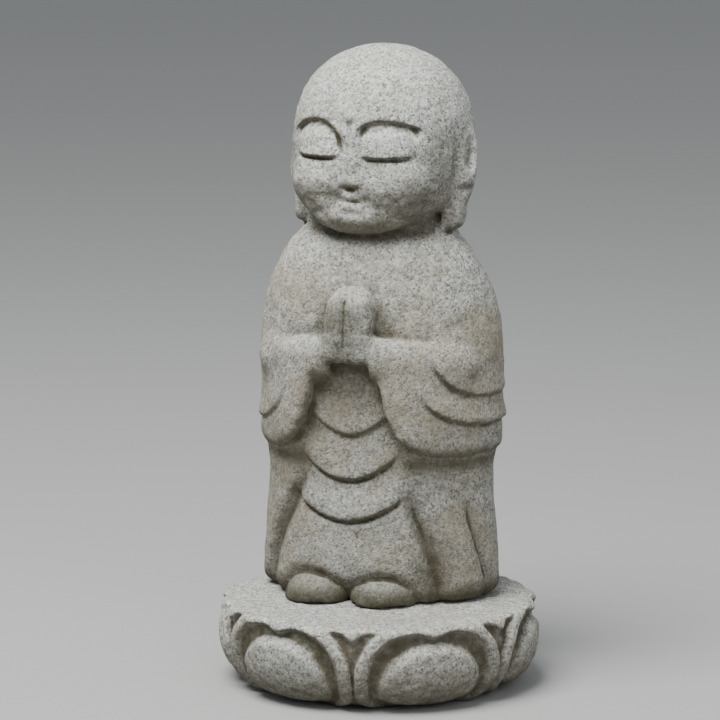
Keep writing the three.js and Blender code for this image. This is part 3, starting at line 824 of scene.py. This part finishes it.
tip_point = TIP_POINT * hill(middle_mm, 0, 9) * smooth_step(36, 44, height)
groove = GROOVE_DEPTH * smooth_step(1.0 - tip_point, 0.88 - tip_point, inside_rim)
groove = groove * smooth_step(0.82, 1.06, cushion)
crown = CUSHION_CROWN * smooth_step(0.95, 0.2, cushion)
recess_top = RECESS_TOP - RECESS_POINT * hill(parting_mm, 0, 5.5)
outside = smooth_step(0.985, 1.03, petal)
recess = RECESS_DEPTH * outside * smooth_step(recess_top + 1.5, recess_top - 4.5, height)
back_petal = BACK_PETAL_CROWN * outside * hill(parting_mm, 0, 4.2)
back_petal = back_petal * smooth_step(recess_top, recess_top - 8, height)
parting = PARTING_DEPTH * hill(parting_mm, 0, 2.0) * smooth_step(46, 30, height)
carving = groove - crown + np.maximum(recess - back_petal, 0) + parting
print("deepest carving", round(float(carving.max()), 1), "mm")

# %% Carve, weather and skin the plinth
SLANT = 0.9  # the bowl's sides slant, so that their distance is a little less than the radius says
RIM_EDGE, FOOT_EDGE = 6, 3
SHADE_AND_DIRT_FROM, SHADE_AND_DIRT_SPAN = 0.8, 4  # the carving's depths where painted shade and dirt start, and over which they grow

bowl_here = np.interp(height, bowl_levels, bowl_radii)
plinth = common((radius - bowl_here + carving) * SLANT, height - PLINTH_TOP, RIM_EDGE)
plinth = weathered(common(plinth, -height, FOOT_EDGE))

# painted shade and dirt in the petals' grooves and recesses, up to the rim
shaded_and_dirty_plinth = np.clip((carving - SHADE_AND_DIRT_FROM) / SHADE_AND_DIRT_SPAN, 0, 1) * smooth_step(61, 56, height)
carved_plinth = skinned("carved_plinth", low_block, plinth, shaded_and_dirty_plinth, lambda carved: carved)

# %% [markdown]
# ## Weathered granite
# Granite is a crowd of grains one or two millimetres across: white feldspar, grey quartz and
# black mica. Cells of a Voronoi texture are such grains, each with one colour. Over them lie slow
# changes: rain bleaching and painted light brighten what faces up, painted shade and dirt darken
# the hollows and the underside, and iron leaves a faint ochre. Painted images could hold this too,
# but nodes give every side of the stone the same treatment, at any distance. Each change is a
# function of its own, laid over the one before.


# %% A short way to write shader nodes
class Nodes:
    def __init__(self, material):
        self.tree = material.node_tree

    def add(self, kind, inputs=None, **settings):
        node = self.tree.nodes.new("ShaderNode" + kind)
        for key, value in settings.items():
            setattr(node, key, value)
        for key, value in (inputs or {}).items():
            if isinstance(value, bpy.types.NodeSocket):
                self.tree.links.new(value, node.inputs[key])
            else:
                node.inputs[key].default_value = value
        return node

    def math(self, operation, a, b=0.0, clamp=False):
        return self.add("Math", {0: a, 1: b}, operation=operation, use_clamp=clamp).outputs[0]

    def ramp(self, value, low, high, to_low=0.0, to_high=1.0):
        inputs = {0: value, 1: low, 2: high, 3: to_low, 4: to_high}
        return self.add("MapRange", inputs, interpolation_type="SMOOTHSTEP").outputs[0]

    def mix(self, share, a, b, blend="MIX"):
        node = self.add("Mix", {0: share, 6: a, 7: b}, data_type="RGBA", blend_type=blend)
        return node.outputs[2]

    def noise(self, place, scale, detail=2.0):
        return self.add("TexNoise", {"Vector": place, "Scale": scale, "Detail": detail}).outputs[0]


def colour(red, green, blue):
    return (red, green, blue, 1)


# %% The grains
GRAIN_SCALE = 680  # cells to a metre
MICA, QUARTZ = colour(0.05, 0.05, 0.05), colour(0.19, 0.185, 0.175)
STONE_GREY, FELDSPAR = colour(0.43, 0.43, 0.405), colour(0.68, 0.685, 0.65)
BUFF = colour(0.54, 0.50, 0.41)
GRAIN_MIX = [(0.0, MICA), (0.10, QUARTZ), (0.26, STONE_GREY), (0.58, FELDSPAR), (0.86, BUFF)]


def grain_colours(nodes, place, scale):
    cells = nodes.add("TexVoronoi", {"Vector": place, "Scale": scale})
    pick = nodes.add("SeparateColor", {0: cells.outputs["Color"]}).outputs[0]
    ramp = nodes.add("ValToRGB", {0: pick})
    ramp.color_ramp.interpolation = "CONSTANT"
    while len(ramp.color_ramp.elements) < len(GRAIN_MIX):
        ramp.color_ramp.elements.new(0.5)
    for element, (position, tint) in zip(ramp.color_ramp.elements, GRAIN_MIX):
        element.position = position
        element.color = tint
    return ramp.outputs[0], cells.outputs["Distance"]


# %% Bare granite
GRAIN_WOBBLE, WOBBLE_SCALE = 0.0010, 400.0  # grains aren't round, so their edges wander this far
SMALL_GRAINS = 1.9  # how much finer the second crowd of grains is


def bare_granite(nodes, place):
    """The stone's colour, and how far each point is from the middles of its two grains."""
    wobble = nodes.add("TexNoise", {"Vector": place, "Scale": WOBBLE_SCALE, "Detail": 1.0}).outputs["Color"]
    loose = nodes.add("VectorMath", {0: wobble, "Scale": GRAIN_WOBBLE}, operation="SCALE").outputs[0]
    uneven = nodes.add("VectorMath", {0: place, 1: loose}, operation="ADD").outputs[0]
    big, big_distance = grain_colours(nodes, uneven, GRAIN_SCALE)
    small, small_distance = grain_colours(nodes, uneven, GRAIN_SCALE * SMALL_GRAINS)
    stone = nodes.mix(0.35, big, small)
    stone = nodes.mix(0.12, stone, STONE_GREY)
    mottle = nodes.ramp(nodes.noise(place, 240.0, 4.0), 0.36, 0.66, 0.0, 0.36)
    return nodes.mix(mottle, stone, QUARTZ), nodes.math("ADD", big_distance, small_distance)


# %% Slow changes of tint: the head is the greyest, and the robe the warmest
OCHRE = colour(0.50, 0.42, 0.30)
HEAD_HEIGHT, CHEST_HEIGHT, KNEE_HEIGHT = 0.34, 0.26, 0.16  # in metres


def tinted(nodes, stone, place, upright, slow, warmth, low_browning):
    patches = nodes.ramp(nodes.noise(place, 34.0, 3.0), 0.42, 0.66)
    below_head = nodes.ramp(upright, HEAD_HEIGHT, CHEST_HEIGHT, 0.35, 1.0)
    warm = nodes.math("MULTIPLY", nodes.math("ADD", slow, patches), below_head)
    warm = nodes.math("MULTIPLY", warm, warmth, clamp=True)
    stone = nodes.mix(warm, stone, OCHRE, "MULTIPLY")
    stone = nodes.mix(nodes.math("MULTIPLY", warm, 0.5), stone, OCHRE)
    # browner and darker towards the bottom
    return nodes.mix(nodes.ramp(upright, HEAD_HEIGHT, KNEE_HEIGHT, 0.0, low_browning), stone, BROWN_DIRT_AND_SHADE)


# %% Rain bleaching and painted light brighten what faces up and stands in the open
BLEACH_AND_LIGHT = colour(1.80, 1.85, 1.87)  # it multiplies, so the dark grains stay
HEAD_BLEACH_AND_LIGHT = 1.35  # the head is bleached, and brightened with painted light, this much more than the rest


def bleached_and_lit(nodes, stone, upright, up, sheltered, bleach_and_light):
    # painted light: what faces up and stands in the open is brightened, besides being bleached by rain
    bleach_and_light_share = nodes.math("MULTIPLY", nodes.ramp(up, -0.6, 0.75), nodes.ramp(sheltered, 0.62, 0.48))
    bleach_and_light_share = nodes.math("MULTIPLY", bleach_and_light_share, nodes.ramp(upright, 0.28, 0.36, bleach_and_light, bleach_and_light * HEAD_BLEACH_AND_LIGHT))
    return nodes.mix(bleach_and_light_share, stone, BLEACH_AND_LIGHT, "MULTIPLY")


# %% Painted shade darkens the hollows and the undersides, and soil with painted shade the foot of the stone
OLIVE_SHADE_AND_DIRT, BROWN_DIRT_AND_SHADE = colour(0.062, 0.056, 0.032), colour(0.090, 0.076, 0.050)


def shade_and_dirt_share(nodes, place, upright, up, sheltered, soil_and_shade_top, soil_and_shade_full):
    hollow_share = nodes.add("Attribute", attribute_name="hollow").outputs["Fac"]
    # painted shade in narrow grooves
    crevice_shade = nodes.ramp(hollow_share, 0.53, 0.66)
    # painted shade where much stone stands round about
    lee_shade = nodes.math("MULTIPLY", nodes.ramp(sheltered, 0.53, 0.68), 0.85)
    # painted shade on what faces down
    underside_shade = nodes.math("MULTIPLY", nodes.ramp(up, 0.15, -0.65), 0.85)
    # soil at the foot of the stone, with painted shade there
    soil_and_shade = nodes.math("MULTIPLY", nodes.ramp(upright, soil_and_shade_top, soil_and_shade_full), 0.95)
    # the painted shade and dirt laid on each stone's patches, kept off what faces up
    placed_shade_and_dirt = nodes.add("Attribute", attribute_name="shaded_and_dirty").outputs["Fac"]
    placed_shade_and_dirt = nodes.math("MULTIPLY", placed_shade_and_dirt, nodes.ramp(up, 0.9, 0.4))
    shade_and_dirt = nodes.math("MAXIMUM", nodes.math("MAXIMUM", crevice_shade, lee_shade), nodes.math("MAXIMUM", underside_shade, soil_and_shade))
    shade_and_dirt = nodes.math("MAXIMUM", shade_and_dirt, placed_shade_and_dirt)
    broken = nodes.ramp(nodes.noise(place, 120.0, 4.0), 0.25, 0.7, 0.78, 1.0)
    return nodes.math("MULTIPLY", shade_and_dirt, broken, clamp=True)


# %% The whole material
def granite(name, warmth, bleach_and_light, low_browning, soil_and_shade_top, soil_and_shade_full):
    """Weathered granite: how ochre it is, how far rain bleaching and painted light brighten it, how
    brown it is low down, and the heights in metres where soil and painted shade begin to show and
    where they cover the stone."""
    material = plain_material(name, (0.4, 0.38, 0.35), 0.9)
    nodes = Nodes(material)
    shader = material.node_tree.nodes["Principled BSDF"]
    shader.inputs["Specular IOR Level"].default_value = 0.25
    place = nodes.add("TexCoord").outputs["Object"]
    upright = nodes.add("SeparateXYZ", {0: place}).outputs[2]
    up = nodes.add("SeparateXYZ", {0: nodes.add("NewGeometry").outputs["Normal"]}).outputs[2]
    sheltered = nodes.add("Attribute", attribute_name="sheltered").outputs["Fac"]
    slow = nodes.ramp(nodes.noise(place, 11.0), 0.40, 0.62)

    stone, off_middle = bare_granite(nodes, place)
    stone = tinted(nodes, stone, place, upright, slow, warmth, low_browning)
    stone = bleached_and_lit(nodes, stone, upright, up, sheltered, bleach_and_light)
    shade_and_dirt = shade_and_dirt_share(nodes, place, upright, up, sheltered, soil_and_shade_top, soil_and_shade_full)
    # the stone darkened with painted shade and dirt
    stone = nodes.mix(shade_and_dirt, stone, nodes.mix(slow, OLIVE_SHADE_AND_DIRT, BROWN_DIRT_AND_SHADE))
    nodes.tree.links.new(stone, shader.inputs["Base Color"])

    pitted = nodes.math("ADD", nodes.math("SUBTRACT", 1.0, off_middle), nodes.noise(place, 620.0, 3.0))
    relief = nodes.add("Bump", {"Height": pitted, "Strength": 0.5, "Distance": 0.0008})
    nodes.tree.links.new(relief.outputs[0], shader.inputs["Normal"])
    polish = nodes.ramp(nodes.noise(place, 60.0), 0.3, 0.7, 0.82, 0.97)
    nodes.tree.links.new(polish, shader.inputs["Roughness"])
    return material


# %% Dress both stones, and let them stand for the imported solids
FIGURE_STONE = granite(
    "warm_granite", warmth=0.28, bleach_and_light=0.38, low_browning=0.31, soil_and_shade_top=0.083, soil_and_shade_full=0.065
)
PLINTH_STONE = granite(
    "pale_granite", warmth=0.12, bleach_and_light=0.40, low_browning=0.05, soil_and_shade_top=0.058, soil_and_shade_full=-0.006
)
for piece, node, slot, material in (
    (carved_figure, "jizo_figure", "figure_granite", FIGURE_STONE),
    (carved_plinth, "lotus_plinth", "plinth_granite", PLINTH_STONE),
):
    piece.data.materials.append(material)
    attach(piece, "root")
    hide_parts(node)
    print(piece.name, "stands for", node)
